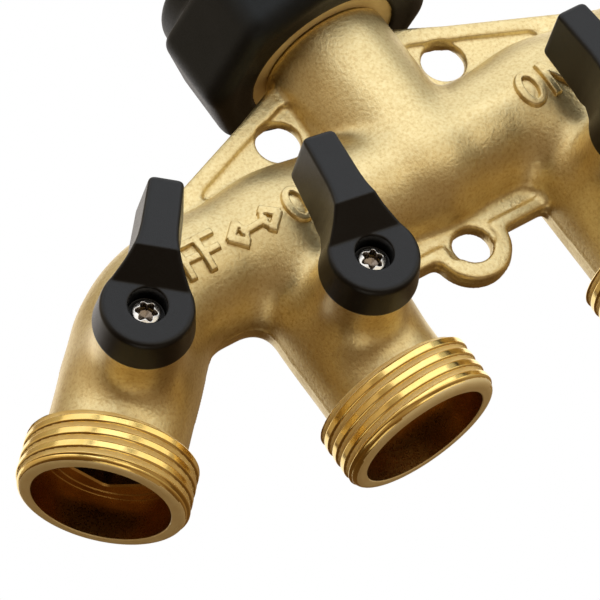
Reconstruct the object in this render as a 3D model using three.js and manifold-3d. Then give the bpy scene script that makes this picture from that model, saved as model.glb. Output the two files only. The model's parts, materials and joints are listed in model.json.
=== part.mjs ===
// Four-outlet garden hose splitter: a cast brass manifold with a swivel inlet nut and a ball valve in each outlet.
// Millimetres. X runs along the main pipe, Z points up towards the tap, and the levers face -Y.
// The origin is the centre of the inlet nut's mouth.
import * as THREE from "three";
import { mergeVertices } from "three/addons/utils/BufferGeometryUtils.js";
import Module from "manifold-3d";

const wasm = await Module();
wasm.setup();

const GAP = 0.3; // between pieces that touch
const ROUND = 24; // sides of the large round pieces
const SMALL = 16; // sides of the small round pieces

// Main pipe and outlets
const PIPE_Z = -47.5;
const PIPE_R = 10.8;
const PIPE_BORE = 8;
const ELBOW_X = 50.8; // where an outer outlet's axis meets the main pipe's
const ELBOW_TANGENT = 7.6;
const OUTER_REACH = 35.2; // from that point to the mouth
const INNER_X = 26;
const INNER_REACH = 40.1;
const INNER_BORE = 6.5;

// Garden hose thread on each outlet
const THREAD_R = 13.45;
const THREAD_ROOT = 12.1;
const PITCH = 2.2;
const TURNS = 4;
const THREAD_LENGTH = 9.8;

// Ball valve, measured from the ball's centre along the outlet
const VALVE_BACK = 21.2; // from the mouth to the ball's centre
const MOUTH_R = 10.8;
const MOUTH_DEPTH = 7;
const CHAMBER_R = 9.3;
const CHAMBER_HALF = 9.3;
const BALL_R = 7.6;
const BALL_BORE = 4.6;
const SEAT_R = CHAMBER_R - GAP;
const SEAT_BORE = 5;
const SEAT_NEAR = 4.8;
const RETAINER_BORE = 6.9;

// Stem, lever and screw, measured from the outlet's axis outwards
const STEM_R = 3;
const STEM_HOLE = 3.3;
const COLLAR_R = 4.3;
const COLLAR_LOW = 8.7;
const COLLAR_HIGH = 10.2;
const STEM_SHOULDER = 17.9;
const SQUARE = 4.1;
const SQUARE_TOP = 20.9;
const TANG = { length: 6.4, thickness: 2.3, low: 5.6 };
const RING_MAJOR = 2.7;
const RING_MINOR = 0.45;
const RING_HEIGHTS = { a: 12.2, b: 14.6 };
const BOSS_R = 7;
const BOSS_TOP = 18.2;
const HUB_LOW = BOSS_TOP + GAP;
const HUB_TOP = 24.5;
const HUB_LOW_R = 7.8;
const HUB_TOP_R = 7.04;
const POCKET_R = 3.05;
const POCKET_FLOOR = 22.3;
const LEVER_LENGTH = 20.4;
const LEVER_HEIGHT = 28.1;
const SHANK_R = 1.25;
const SHANK_END = 16.2;
const HEAD_R = 2.4;
const HEAD_HIGH = 1.3;

// Inlet neck, swivel nut and grip
const NECK_R = 11.4;
const INLET_LENGTH = 22; // from the nut's mouth to the end of the grip
const LIP = 1; // the grip's lip over the back of the nut
const LIP_BORE = 13.6;
const NUT_LENGTH = INLET_LENGTH - LIP - GAP;
const NUT_R = 17;
const NUT_THREAD_R = 13.7;
const NUT_CREST_R = 12.75;
const NUT_BACK_BORE = 10.9;
const NUT_BACK = 4; // thickness of the wall that the ring holds
const TAIL_R = 10.5;
const TAIL_TOP = -13;
const GROOVE_R = 9.5;
const RING_THICK = 1;
const WASHER = { outer: 12.4, inner: 8, thick: 2.5 };
const GRIP_FLAT = 20.5; // from the axis to a flat
const GRIP_CORNER = 3;
const GRIP_TALL = 16;
const GRIP_COLLAR_R = 19;
const GRIP_BEVEL = 1.6;

// Webs, flange and lug
const RIM_HALF = 1.8;
const PANEL_HALF = 1;
const WEB_HOLE = { x: 16.6, z: 15.2, r: 4 };
const LUG = { z: -16.1, outer: 6.8, hole: 3.3 };
const FLANGE_DEPTH = 15.8;

const castBrass = { color: 0xc9a35c, roughness: 0.45, metalness: 0.9 };
const turnedBrass = { color: 0xd9a93c, roughness: 0.25, metalness: 1 };
const blackPlastic = { color: 0x1b1b1d, roughness: 0.5, metalness: 0 };
const steel = { color: 0xc4c6c8, roughness: 0.25, metalness: 1 };
const rubber = { color: 0x161616, roughness: 0.8, metalness: 0 };
const seatPlastic = { color: 0xe9e6dc, roughness: 0.5, metalness: 0 };

// Solids and meshes

function solidOf(geometry, matrix = new THREE.Matrix4()) {
  const plain = new THREE.BufferGeometry();
  plain.setAttribute("position", geometry.getAttribute("position").clone());
  plain.setIndex(geometry.getIndex());
  plain.applyMatrix4(matrix);
  const merged = mergeVertices(plain, 1e-4);
  const source = merged.getIndex();
  const vertProperties = new Float32Array(merged.getAttribute("position").array);
  return new wasm.Manifold(
    new wasm.Mesh({ numProp: 3, vertProperties, triVerts: new Uint32Array(source.array) }),
  );
}

function join(solids) {
  return solids.reduce((whole, next) => whole.add(next));
}

function cut(solid, holes) {
  return holes.reduce((rest, hole) => rest.subtract(hole), solid);
}

function meshOf(name, solid, look) {
  const data = solid.getMesh();
  const positions = new Float32Array(data.numVert * 3);
  for (let i = 0; i < data.numVert; i++) {
    const start = i * data.numProp;
    positions.set(data.vertProperties.subarray(start, start + 3), i * 3);
  }
  const geometry = new THREE.BufferGeometry();
  geometry.setAttribute("position", new THREE.BufferAttribute(positions, 3));
  geometry.setIndex(new THREE.BufferAttribute(data.triVerts, 1));
  const mesh = new THREE.Mesh(geometry, new THREE.MeshStandardMaterial(look));
  mesh.name = name;
  return mesh;
}

const alongY = new THREE.Matrix4();
const alongZ = new THREE.Matrix4().makeRotationX(Math.PI / 2);

// Turns a profile of [radius, height] points about an axis.
function turned(profile, axis, sides, place = new THREE.Matrix4()) {
  const points = profile.map(([r, h]) => new THREE.Vector2(r, h));
  const lathe = new THREE.LatheGeometry(points, sides);
  return solidOf(lathe, place.clone().multiply(axis));
}

function rod(radius, low, high, axis, sides, place) {
  const profile = [[0, low], [radius, low], [radius, high], [0, high]];
  return turned(profile, axis, sides, place);
}

function ring(inner, outer, low, high, axis, sides) {
  const profile = [[inner, low], [outer, low], [outer, high], [inner, high], [inner, low]];
  return turned(profile, axis, sides);
}

function block(width, height, depth, centre, place = new THREE.Matrix4()) {
  const box = new THREE.BoxGeometry(width, height, depth);
  box.translate(...centre);
  return solidOf(box, place);
}

// A plate in the casting's middle plane, from an outline in x and in height above the main pipe's axis.
function plate(outline, half) {
  const geometry = new THREE.ExtrudeGeometry(outline, {
    depth: 2 * half,
    bevelEnabled: false,
    curveSegments: 7,
  });
  const place = new THREE.Matrix4().makeRotationX(Math.PI / 2);
  place.setPosition(0, half, PIPE_Z);
  return solidOf(geometry, place);
}

function outlineOf(points) {
  return new THREE.Shape(points.map(([x, z]) => new THREE.Vector2(x, z)));
}

function discOf(x, z, radius) {
  const disc = new THREE.Shape();
  disc.absarc(x, z, radius, 0, 2 * Math.PI);
  return disc;
}

// Outlets: a corner on the main pipe, a heading in the XZ plane and the distance to the mouth.
// leverTurn is how far the lever stands off the outlet's line: measured on 1 and 2, taken as none on the unseen 3 and 4.

const outlets = [
  { id: 1, cornerX: -ELBOW_X, heading: 225, reach: OUTER_REACH, leverTurn: 5.1 },
  { id: 2, cornerX: -INNER_X, heading: 270, reach: INNER_REACH, leverTurn: -8.8 },
  { id: 3, cornerX: INNER_X, heading: 270, reach: INNER_REACH, leverTurn: 0 },
  { id: 4, cornerX: ELBOW_X, heading: 315, reach: OUTER_REACH, leverTurn: 0 },
];

const STEM_WAY = new THREE.Vector3(0, -1, 0);

// The valve's own frame: Y along the stem, towards the lever, and Z along the outlet, towards its mouth.
function valveFrame(outlet) {
  const angle = THREE.MathUtils.degToRad(outlet.heading);
  const flow = new THREE.Vector3(Math.cos(angle), 0, Math.sin(angle));
  const side = new THREE.Vector3().crossVectors(STEM_WAY, flow);
  const frame = new THREE.Matrix4().makeBasis(side, STEM_WAY, flow);
  const back = outlet.reach - VALVE_BACK;
  frame.setPosition(outlet.cornerX + flow.x * back, 0, PIPE_Z + flow.z * back);
  return frame;
}

// Casting

// The line of the main pipe through both elbows, ending a given distance short of the outer mouths.
function manifoldLine(short) {
  const at = (x, z) => new THREE.Vector3(x, 0, PIPE_Z + z);
  const slope = Math.SQRT1_2;
  const run = (OUTER_REACH - short) * slope;
  const bend = ELBOW_TANGENT * slope;
  const line = new THREE.CurvePath();
  const points = [
    at(-ELBOW_X - run, -run),
    at(-ELBOW_X - bend, -bend),
    at(-ELBOW_X, 0),
    at(-ELBOW_X + ELBOW_TANGENT, 0),
    at(ELBOW_X - ELBOW_TANGENT, 0),
    at(ELBOW_X, 0),
    at(ELBOW_X + bend, -bend),
    at(ELBOW_X + run, -run),
  ];
  line.add(new THREE.LineCurve3(points[0], points[1]));
  line.add(new THREE.QuadraticBezierCurve3(points[1], points[2], points[3]));
  line.add(new THREE.LineCurve3(points[3], points[4]));
  line.add(new THREE.QuadraticBezierCurve3(points[4], points[5], points[6]));
  line.add(new THREE.LineCurve3(points[6], points[7]));
  return line;
}

function manifoldTube(radius, short) {
  const section = new THREE.Shape();
  section.absarc(0, 0, radius, 0, 2 * Math.PI);
  const geometry = new THREE.ExtrudeGeometry(section, {
    steps: 26,
    curveSegments: ROUND / 2,
    extrudePath: manifoldLine(short),
  });
  return solidOf(geometry);
}

function threadedEnd(place) {
  const base = VALVE_BACK - THREAD_LENGTH;
  const first = VALVE_BACK - 0.6 - (TURNS - 0.5) * PITCH;
  const profile = [[0, base - 1], [PIPE_R, base - 1], [THREAD_ROOT, base]];
  for (let turn = 0; turn < TURNS; turn++) {
    const middle = first + turn * PITCH;
    profile.push([THREAD_ROOT, middle - 0.5 * PITCH]);
    profile.push([THREAD_R, middle - 0.15 * PITCH]);
    profile.push([THREAD_R, middle + 0.15 * PITCH]);
  }
  profile.push([THREAD_ROOT, VALVE_BACK - 0.4]);
  profile.push([THREAD_ROOT - 0.2, VALVE_BACK]);
  profile.push([0, VALVE_BACK]);
  return turned(profile, alongZ, ROUND, place);
}

function stemBoss(place) {
  const profile = [[0, 0], [10, 0], [9.6, 8], [7.7, 12], [BOSS_R, 15], [BOSS_R, BOSS_TOP], [0, BOSS_TOP]];
  return turned(profile, alongY, ROUND, place);
}

function valveHoles(place) {
  const past = VALVE_BACK + 1;
  return [
    rod(MOUTH_R, VALVE_BACK - MOUTH_DEPTH, past, alongZ, ROUND, place),
    rod(CHAMBER_R, -CHAMBER_HALF, past - MOUTH_DEPTH, alongZ, ROUND, place),
    rod(COLLAR_R + GAP, 0, COLLAR_HIGH + GAP, alongY, SMALL, place),
    rod(STEM_HOLE, 0, BOSS_TOP + 1, alongY, SMALL, place),
  ];
}

function webs() {
  const { x, z, r } = WEB_HOLE;
  const rim = [[0, 0], [48, 0], [48, 10.2], [34.3, 15.5], [20.3, 20.9], [12.6, 24.3], [0, 24.3]];
  const recess = [[13.3, 21.1], [22.8, 17.1], [33.7, 13.2], [34, 11.5], [31.6, 9], [8, 9], [8, 21.1]];
  const solids = [1, -1].flatMap((side) => {
    const mirrored = (points) => points.map(([px, pz]) => [side * px, pz]);
    const frame = plate(outlineOf(mirrored(rim)), RIM_HALF);
    const window = plate(outlineOf(mirrored(recess)), RIM_HALF + 1);
    const panel = plate(outlineOf(mirrored(recess)), PANEL_HALF);
    const hole = plate(discOf(side * x, z, r), RIM_HALF + 1);
    return [join([frame.subtract(window), panel]).subtract(hole)];
  });
  return join(solids);
}

function lowerFlange() {
  const halfWidth = INNER_X - 4;
  const strip = [[-halfWidth, 0], [halfWidth, 0], [halfWidth, -FLANGE_DEPTH], [-halfWidth, -FLANGE_DEPTH]];
  const lug = plate(discOf(0, LUG.z, LUG.outer), RIM_HALF);
  const hole = plate(discOf(0, LUG.z, LUG.hole), RIM_HALF + 1);
  return join([plate(outlineOf(strip), RIM_HALF), lug]).subtract(hole);
}

// The neck carries the nut on a tail with a groove for the snap ring.
function neck() {
  const shoulder = -NUT_LENGTH - GAP;
  const grooveLow = -NUT_LENGTH + NUT_BACK;
  const grooveHigh = grooveLow + RING_THICK + 2 * GAP;
  const profile = [
    [0, PIPE_Z],
    [NECK_R, PIPE_Z],
    [NECK_R, shoulder],
    [TAIL_R, shoulder],
    [TAIL_R, grooveLow],
    [GROOVE_R, grooveLow],
    [GROOVE_R, grooveHigh],
    [TAIL_R, grooveHigh],
    [TAIL_R, TAIL_TOP],
    [0, TAIL_TOP],
  ];
  return turned(profile, alongZ, ROUND);
}

// makeRotationX(90 degrees) sends a lathe's height to +Z, so that heights read the same in every frame.

function bodyCasting() {
  const frames = outlets.map(valveFrame);
  const innerTubes = outlets.slice(1, 3).map((outlet) => {
    return rod(PIPE_R, -(INNER_REACH - VALVE_BACK), VALVE_BACK - THREAD_LENGTH, alongZ, ROUND, valveFrame(outlet));
  });
  const innerBores = outlets.slice(1, 3).map((outlet) => {
    return rod(INNER_BORE, -(INNER_REACH - VALVE_BACK), 0, alongZ, ROUND, valveFrame(outlet));
  });
  const outside = join([
    manifoldTube(PIPE_R, THREAD_LENGTH),
    ...innerTubes,
    neck(),
    webs(),
    lowerFlange(),
    ...frames.map(threadedEnd),
    ...frames.map(stemBoss),
  ]);
  return cut(outside, [
    manifoldTube(PIPE_BORE, VALVE_BACK),
    ...innerBores,
    rod(PIPE_BORE, PIPE_Z, TAIL_TOP + 1, alongZ, ROUND),
    ...frames.flatMap(valveHoles),
  ]);
}

// Valve pieces, in the valve's own frame

function valveBall() {
  const ball = solidOf(new THREE.SphereGeometry(BALL_R, SMALL, SMALL / 2));
  const bore = rod(BALL_BORE, -BALL_R - 1, BALL_R + 1, alongZ, SMALL);
  const slot = block(2 * BALL_R + 2, 3, TANG.thickness + 2 * GAP, [0, TANG.low - GAP + 1.5, 0]);
  return cut(ball, [bore, slot]);
}

// A seat's face is hollowed to the ball; side is 1 towards the mouth and -1 towards the pipe.
function ballSeat(side) {
  const hollow = BALL_R + GAP;
  const far = CHAMBER_HALF - GAP;
  const profile = [[SEAT_R, SEAT_NEAR], [SEAT_R, far], [SEAT_BORE, far]];
  const wide = Math.asin(SEAT_NEAR / hollow);
  const narrow = Math.acos(SEAT_BORE / hollow);
  const steps = 2;
  for (let step = 0; step <= steps; step++) {
    const angle = narrow + ((wide - narrow) * step) / steps;
    profile.push([hollow * Math.cos(angle), hollow * Math.sin(angle)]);
  }
  profile.push(profile[0]);
  const placed = side > 0 ? profile : profile.map(([r, h]) => [r, -h]).reverse();
  return turned(placed, alongZ, ROUND);
}

function seatRetainer() {
  const low = CHAMBER_HALF;
  const high = VALVE_BACK - MOUTH_DEPTH - GAP / 2;
  return ring(RETAINER_BORE, SEAT_R, low, high, alongZ, ROUND);
}

function valveStem() {
  const profile = [[0, COLLAR_LOW], [COLLAR_R, COLLAR_LOW], [COLLAR_R, COLLAR_HIGH], [STEM_R, COLLAR_HIGH]];
  const groove = RING_MAJOR - RING_MINOR - 0.15;
  const half = RING_MINOR + 0.15;
  for (const height of Object.values(RING_HEIGHTS)) {
    profile.push([STEM_R, height - half], [groove, height - half]);
    profile.push([groove, height + half], [STEM_R, height + half]);
  }
  profile.push([STEM_R, STEM_SHOULDER], [0, STEM_SHOULDER]);
  const tangHigh = COLLAR_LOW + 0.5;
  const tangTall = tangHigh - TANG.low;
  const squareLow = STEM_SHOULDER - 0.5;
  const solid = join([
    turned(profile, alongY, SMALL),
    block(TANG.length, tangTall, TANG.thickness, [0, tangHigh - tangTall / 2, 0]),
    block(SQUARE, SQUARE_TOP - squareLow, SQUARE, [0, (SQUARE_TOP + squareLow) / 2, 0]),
  ]);
  return solid.subtract(rod(SHANK_R + GAP, SHANK_END - GAP, SQUARE_TOP + 1, alongY, SMALL));
}

function stemRing(height) {
  const torus = new THREE.TorusGeometry(RING_MAJOR, RING_MINOR, 5, SMALL);
  const place = new THREE.Matrix4().makeRotationX(Math.PI / 2);
  place.setPosition(0, height, 0);
  return solidOf(torus, place);
}

function leverScrew() {
  const low = POCKET_FLOOR + GAP;
  const profile = [
    [0, SHANK_END],
    [SHANK_R, SHANK_END],
    [SHANK_R, low],
    [HEAD_R, low],
    [HEAD_R, low + 0.8],
    [HEAD_R - 0.7, low + HEAD_HIGH],
    [0, low + HEAD_HIGH],
  ];
  const recess = rod(0.95, low + 0.4, low + HEAD_HIGH + 1, alongY, 6);
  return turned(profile, alongY, SMALL).subtract(recess);
}

// The lever's grip is its plan outline cut to its side outline. It points away from the mouth, then turns by leverTurn.
function leverGrip(leverTurn) {
  const plan = new THREE.Shape();
  plan.moveTo(0, -HUB_TOP_R);
  plan.quadraticCurveTo(6, -6.6, 8.6, -3.9);
  plan.lineTo(LEVER_LENGTH - 1.2, -3.1);
  plan.quadraticCurveTo(LEVER_LENGTH + 0.6, 0, LEVER_LENGTH - 1.2, 3.1);
  plan.lineTo(8.6, 3.9);
  plan.quadraticCurveTo(6, 6.6, 0, HUB_TOP_R);
  const side = outlineOf([
    [0, HUB_LOW],
    [8.2, HUB_LOW],
    [9.2, 17.6],
    [LEVER_LENGTH - 0.8, 17.6],
    [LEVER_LENGTH + 0.1, 26.9],
    [7.8, LEVER_HEIGHT],
    [3.2, HUB_TOP],
    [0, HUB_TOP],
  ]);
  const away = new THREE.Vector3(0, 0, -1);
  const up = new THREE.Vector3(0, 1, 0);
  const across = new THREE.Vector3(1, 0, 0);
  const left = across.clone().negate();
  const turn = new THREE.Matrix4().makeRotationY(THREE.MathUtils.degToRad(leverTurn));
  const planPlace = new THREE.Matrix4().makeBasis(away, left, up).setPosition(0, 10, 0);
  const sidePlace = new THREE.Matrix4().makeBasis(away, up, across).setPosition(-10, 0, 0);
  const flat = { depth: 20, bevelEnabled: false, curveSegments: 5 };
  const fromAbove = solidOf(new THREE.ExtrudeGeometry(plan, flat), turn.clone().multiply(planPlace));
  const fromSide = solidOf(new THREE.ExtrudeGeometry(side, flat), turn.clone().multiply(sidePlace));
  return fromAbove.intersect(fromSide);
}

function lever(leverTurn) {
  const hub = [
    [0, HUB_LOW],
    [HUB_LOW_R, HUB_LOW],
    [HUB_TOP_R + 0.05, HUB_TOP - 0.3],
    [HUB_TOP_R - 0.3, HUB_TOP],
    [0, HUB_TOP],
  ];
  const socket = SQUARE + 2 * GAP;
  const socketTop = SQUARE_TOP + GAP;
  const socketLow = HUB_LOW - 1;
  return cut(join([turned(hub, alongY, ROUND), leverGrip(leverTurn)]), [
    rod(POCKET_R, POCKET_FLOOR, LEVER_HEIGHT + 1, alongY, SMALL),
    rod(SHANK_R + GAP, socketLow, LEVER_HEIGHT, alongY, SMALL),
    block(socket, socketTop - socketLow, socket, [0, (socketTop + socketLow) / 2, 0]),
  ]);
}

// Inlet pieces, about Z

function swivelNut() {
  const wallTop = -NUT_LENGTH + NUT_BACK;
  const profile = [
    [NUT_BACK_BORE, -NUT_LENGTH],
    [NUT_R, -NUT_LENGTH],
    [NUT_R, -0.4],
    [NUT_R - 0.4, 0],
    [NUT_THREAD_R + 0.3, 0],
    [NUT_THREAD_R, -0.9],
  ];
  for (let turn = 0; turn < TURNS; turn++) {
    const middle = -1.2 - (turn + 0.5) * PITCH;
    profile.push([NUT_THREAD_R, middle + 0.5 * PITCH]);
    profile.push([NUT_CREST_R, middle + 0.15 * PITCH]);
    profile.push([NUT_CREST_R, middle - 0.15 * PITCH]);
  }
  profile.push([NUT_THREAD_R, -1.2 - TURNS * PITCH]);
  profile.push([NUT_THREAD_R, wallTop], [NUT_BACK_BORE, wallTop], [NUT_BACK_BORE, -NUT_LENGTH]);
  return turned(profile, alongZ, ROUND);
}

function nutGrip() {
  const shape = new THREE.Shape();
  const flats = 8;
  const inner = GRIP_FLAT - GRIP_BEVEL - GRIP_CORNER;
  for (let i = 0; i < flats; i++) {
    const corner = (i * 2 * Math.PI) / flats;
    const reach = inner / Math.cos(Math.PI / flats);
    const half = Math.PI / flats;
    shape.absarc(reach * Math.cos(corner), reach * Math.sin(corner), GRIP_CORNER, corner - half, corner + half);
  }
  const bevel = { bevelThickness: GRIP_BEVEL, bevelSize: GRIP_BEVEL, bevelSegments: 2, curveSegments: 2 };
  const body = new THREE.ExtrudeGeometry(shape, { depth: GRIP_TALL - 2 * GRIP_BEVEL, ...bevel });
  const place = new THREE.Matrix4().makeTranslation(0, 0, -INLET_LENGTH + GRIP_BEVEL);
  const top = -0.6;
  const collar = [
    [0, -INLET_LENGTH + 3],
    [GRIP_COLLAR_R, -INLET_LENGTH + 3],
    [GRIP_COLLAR_R, top - 1],
    [GRIP_COLLAR_R - 1, top],
    [0, top],
  ];
  const solid = join([solidOf(body, place), turned(collar, alongZ, ROUND)]);
  return cut(solid, [
    rod(LIP_BORE, -INLET_LENGTH - 1, 1, alongZ, ROUND),
    rod(NUT_R + GAP, -NUT_LENGTH - GAP, 1, alongZ, ROUND),
  ]);
}

function inletWasher() {
  const low = TAIL_TOP + GAP;
  return ring(WASHER.inner, WASHER.outer, low, low + WASHER.thick, alongZ, ROUND);
}

function snapRing() {
  const low = -NUT_LENGTH + NUT_BACK + GAP;
  const whole = ring(GROOVE_R + GAP, NUT_THREAD_R - 1.1, low, low + RING_THICK, alongZ, ROUND);
  return whole.subtract(block(NUT_R, 3, 6, [NUT_R / 2, 0, low]));
}

// Assembly

const splitter = new THREE.Group();
splitter.add(meshOf("body_casting", bodyCasting(), castBrass));
splitter.add(meshOf("swivel_nut", swivelNut(), turnedBrass));
splitter.add(meshOf("nut_grip", nutGrip(), rubber));
splitter.add(meshOf("inlet_washer", inletWasher(), rubber));
splitter.add(meshOf("snap_ring", snapRing(), steel));

for (const outlet of outlets) {
  const { id } = outlet;
  const valve = new THREE.Group();
  valveFrame(outlet).decompose(valve.position, valve.quaternion, valve.scale);
  valve.add(meshOf(`valve_ball_${id}`, valveBall(), steel));
  valve.add(meshOf(`inner_seat_${id}`, ballSeat(-1), seatPlastic));
  valve.add(meshOf(`outer_seat_${id}`, ballSeat(1), seatPlastic));
  valve.add(meshOf(`seat_retainer_${id}`, seatRetainer(), turnedBrass));
  valve.add(meshOf(`valve_stem_${id}`, valveStem(), turnedBrass));
  for (const [letter, height] of Object.entries(RING_HEIGHTS)) {
    valve.add(meshOf(`stem_o_ring_${id}${letter}`, stemRing(height), rubber));
  }
  valve.add(meshOf(`lever_${id}`, lever(outlet.leverTurn), blackPlastic));
  valve.add(meshOf(`lever_screw_${id}`, leverScrew(), steel));
  splitter.add(valve);
}

export default splitter;
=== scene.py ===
import json
import math
from functools import reduce

import bpy
import numpy as np
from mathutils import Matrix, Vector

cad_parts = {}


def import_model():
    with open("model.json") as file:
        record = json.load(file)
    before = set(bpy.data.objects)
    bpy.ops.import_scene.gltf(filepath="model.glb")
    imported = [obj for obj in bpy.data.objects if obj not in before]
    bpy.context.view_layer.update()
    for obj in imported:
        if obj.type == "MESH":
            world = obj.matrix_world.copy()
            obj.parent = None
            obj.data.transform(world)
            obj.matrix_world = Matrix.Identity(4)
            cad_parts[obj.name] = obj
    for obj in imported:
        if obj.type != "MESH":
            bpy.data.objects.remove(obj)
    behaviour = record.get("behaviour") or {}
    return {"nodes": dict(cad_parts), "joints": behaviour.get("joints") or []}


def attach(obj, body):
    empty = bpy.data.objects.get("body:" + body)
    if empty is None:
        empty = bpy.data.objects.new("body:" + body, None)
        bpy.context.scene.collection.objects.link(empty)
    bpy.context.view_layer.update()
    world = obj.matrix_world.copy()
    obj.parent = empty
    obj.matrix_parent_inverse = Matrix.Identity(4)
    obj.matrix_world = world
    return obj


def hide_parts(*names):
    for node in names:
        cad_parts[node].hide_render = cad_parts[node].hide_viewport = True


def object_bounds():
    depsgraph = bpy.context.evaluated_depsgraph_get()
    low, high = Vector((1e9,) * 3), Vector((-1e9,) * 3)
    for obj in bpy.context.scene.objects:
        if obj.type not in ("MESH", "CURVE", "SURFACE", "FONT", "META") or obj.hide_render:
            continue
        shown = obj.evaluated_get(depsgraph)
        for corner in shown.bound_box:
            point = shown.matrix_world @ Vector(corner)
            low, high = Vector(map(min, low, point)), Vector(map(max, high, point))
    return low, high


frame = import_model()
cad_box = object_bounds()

import openvdb
from mathutils import Matrix, Vector

# A brass hose splitter: cast manifold, four threaded outlets, four lever valves and a swivel inlet nut.
# Lengths below are in millimetres and are turned into metres as each mesh is made.
MM = 0.001

# The manifold. Heights are measured from the main pipe's axis.
PIPE_Z = -47.5
PIPE_R = 10.8
PIPE_BORE = 8.0
NECK_R = 11.4
NECK_TOP = 26.5
TAIL_R = 10.5
TAIL_TOP = 34.5
ELBOW_X = 50.8
ELBOW_TANGENT = 7.6
OUTER_REACH = 35.2
INNER_X = 26.0
INNER_REACH = 40.1
SLOPE = math.sqrt(0.5)
INNER_BORE = 6.5
WEB_HOLE = {"x": 16.5, "h": 15.3, "r": 3.7}
WEB_HALF = 1.1
RIM_HALF = 1.8
FLANGE_LOW = -15.8
FLANGE_REACH = 24
FLANGE_HALF = 1.35
LUG = {"h": -15.9, "r": 6.4}
LUG_HOLE = {"h": -16.0, "r": 3.3}
SNAP_GROOVE = {"r": 9.5, "h": 31.6, "half": 0.8}
SEAM_RAISED = 0.16
SEAM_HALF = 0.2

# The valve, measured from the ball's centre
VALVE_BACK = 21.2
GAP = 0.3
CHAMBER = 9.3
BOSS_R = 7.1
BOSS_TOP = 18.2
BALL_R = 7.6
BALL_BORE = 4.6
SEAT_R = 9.0
SEAT_BORE = 5.0
SEAT_NEAR = 4.8
STEM_HOLE = 3.3
TANG_HOLE = 4.6
TANG_HOLE_TOP = 10.5
RETAINER_R = 9.25
KEY_FLAT = 6.5
KEY_CORNER = 7.2

# The threaded end
THREAD_R = 13.45
THREAD_DEPTH = 0.85
CREST_HALF = 0.58
FLANK_SLOPE = 1.85
THREAD_LENGTH = 9.8
PITCH = 2.2
MOUTH_R = 10.8
MOUTH_DEPTH = 7.0
THREAD_FOOT = PIPE_R - 0.6
RIM_R = 13.05
RIM_LAND = 11.7
RIM_ROUND = 0.95

# The raised letters
LETTERS_LOW = -4.2
LETTERS_HIGH = 2.9
STROKE = 0.7
LETTERS_RAISED = 0.8
LETTERS_MIDDLE = (LETTERS_LOW + LETTERS_HIGH) / 2
LETTER_O = {"wide": 2.35, "tall": 3.45, "thick": 1.5}
F_ARM = 2.9
F_SHORT_ARM = 2.5
N_WIDTH = 3.4
ARROW_REACH = 4.3
ARROW_HEAD = 2.0

# The lever
HUB_LOW = 18.5
HUB_TOP = 24.5
HUB_R = 7.8
LEVER_END = 21.1
LEVER_TOP = 28.1
LEVER_UNDER = 17.7
RAMP_START = 3.1
RAMP_LENGTH = 4.8
POCKET_FLOOR = 21.3
POCKET_R = 2.95
SOCKET_HALF = 2.35
SOCKET_TOP = 21.0
SCREW_HOLE = 1.55

# Its screw
HEAD_R = 2.2
SHANK_R = 1.25
SHANK_LOW = 16.2
SHANK_TOP = 21.6

# The inlet nut and its grip
INLET_LENGTH = 22.0
NUT_R = 17.0
NUT_BORE = 10.9
NUT_ROOT = 13.7
NUT_THREAD_DEPTH = 0.95
NUT_THREAD = (-0.3, -10.6)
GRIP_BACK = -21.3
GRIP_FRONT = -6.0
GRIP_FLAT = 20.5
GRIP_BORE = 17.25
GRIP_LIP_R = 13.6
COLLAR_R = 19.0
COLLAR_TOP = -0.6

# For each outlet: its heading and its lever's in degrees from +X, its thread's length in millimetres,
# and where around the outlet the thread starts, in turns. Levers 3 and 4, which the photo doesn't show,
# stand in line with their outlets.
OUTLETS = {
    1: {"heading": 225, "lever": 50.1, "thread": 9.1, "start": 0.1},
    2: {"heading": 270, "lever": 81.2, "thread": 9.8, "start": 0.42},
    3: {"heading": 270, "lever": 90, "thread": 9.8, "start": 0.3},
    4: {"heading": 315, "lever": 135, "thread": 9.3, "start": 0.85},
}


# ---------------------------------------------------------------- distance fields

def smooth_min(a, b, k):
    h = np.clip(0.5 + 0.5 * (b - a) / k, 0, 1)
    return b + (a - b) * h - k * h * (1 - h)


def smooth_max(a, b, k):
    return -smooth_min(-a, -b, k)


def axes_of(low, high, step):
    """Three arrays of coordinates that broadcast to a grid from low to high."""
    spans = [np.arange(a, b + step, step, dtype=np.float32) for a, b in zip(low, high)]
    return spans[0][:, None, None], spans[1][None, :, None], spans[2][None, None, :]


def sample(values, places):
    """Trilinear values of a grid at places in grid units."""
    top = np.array(values.shape) - 2
    cell = np.clip(np.floor(places).astype(int), 0, top)
    t = places - cell
    found = 0
    for corner in np.ndindex(2, 2, 2):
        share = np.prod(np.where(corner, t, 1 - t), axis=1)
        i, j, k = (cell + corner).T
        found = found + share * values[i, j, k]
    return found


def mesh_from_field(name, values, low, step, place):
    """A closed mesh of the field's zero surface, with its normals taken from the field.

    place maps millimetres to metres.
    """
    values = np.ascontiguousarray(values, np.float32)
    grid = openvdb.FloatGrid()
    grid.background = 10 * step
    grid.copyFromArray(values)
    points, quads = grid.convertToQuads(isovalue=0.0)
    points = points.astype(float)
    slopes = np.gradient(values)
    for _ in range(2):
        slope = np.stack([sample(s, points) for s in slopes], axis=1)
        size = np.maximum((slope**2).sum(axis=1), 1e-6)
        move = sample(values, points)[:, None] * slope / size[:, None]
        points -= np.clip(move, -0.5, 0.5)
    normals = np.stack([sample(s, points) for s in slopes], axis=1)
    turn = np.array(place.to_3x3().normalized())
    normals = normals @ turn.T
    normals /= np.maximum(np.linalg.norm(normals, axis=1), 1e-9)[:, None]
    world = np.array(place)
    points = (points * step + np.array(low)) @ world[:3, :3].T + world[:3, 3]
    mesh = bpy.data.meshes.new(name)
    mesh.from_pydata(points.tolist(), [], quads.tolist())
    mesh.polygons.foreach_set("use_smooth", [True] * len(mesh.polygons))
    mesh.normals_split_custom_set_from_vertices(normals.tolist())
    return mesh


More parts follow.
